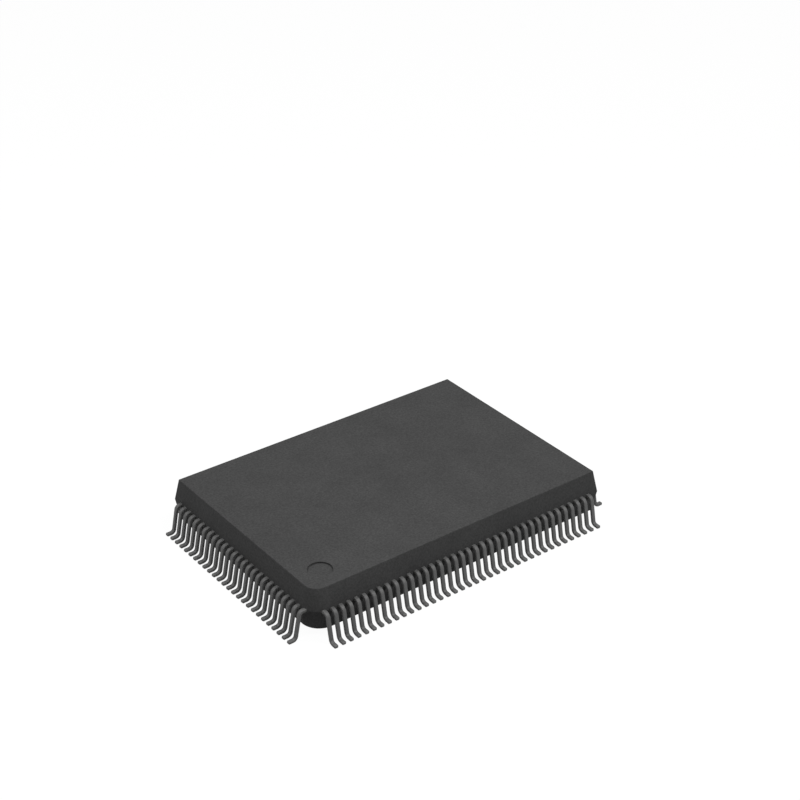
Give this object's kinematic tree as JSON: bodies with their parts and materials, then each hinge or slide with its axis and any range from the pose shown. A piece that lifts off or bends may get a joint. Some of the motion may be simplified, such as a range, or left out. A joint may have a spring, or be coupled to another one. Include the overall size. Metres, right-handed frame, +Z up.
{
  "type": "quad flat pack chip",
  "caption": "Rectangular moulded chip with fine gull-wing leads along all four sides, one rounded corner and a round recess that mark pin one.",
  "frame": {"origin": "on the seating plane under the soles of the leads, midway between opposite lead rows", "axes": "+X along the long side, +Z up from the seating plane to the top face; the pin-one corner is where X and Y are lowest"},
  "size_m": [0.0222, 0.0162, 0.0031],
  "materials": {
    "mould_compound": "dark grey filled epoxy with a fine matte spark-eroded grain",
    "plated_lead": "dull tin plating over copper alloy strip",
    "copper_strip": "bare copper alloy strip",
    "silver_epoxy": "silver-filled adhesive",
    "silicon": "polished silicon",
    "gold_wire": "bright gold wire"
  },
  "bodies": {
    "root": {"moulded_body": "mould_compound", "leads_front": "plated_lead", "leads_right": "plated_lead", "leads_rear": "plated_lead", "leads_left": "plated_lead", "die_pad": "copper_strip", "die_attach": "silver_epoxy", "silicon_die": "silicon", "bond_wires_front": "gold_wire", "bond_wires_right": "gold_wire", "bond_wires_rear": "gold_wire", "bond_wires_left": "gold_wire"}
  },
  "joints": []
}
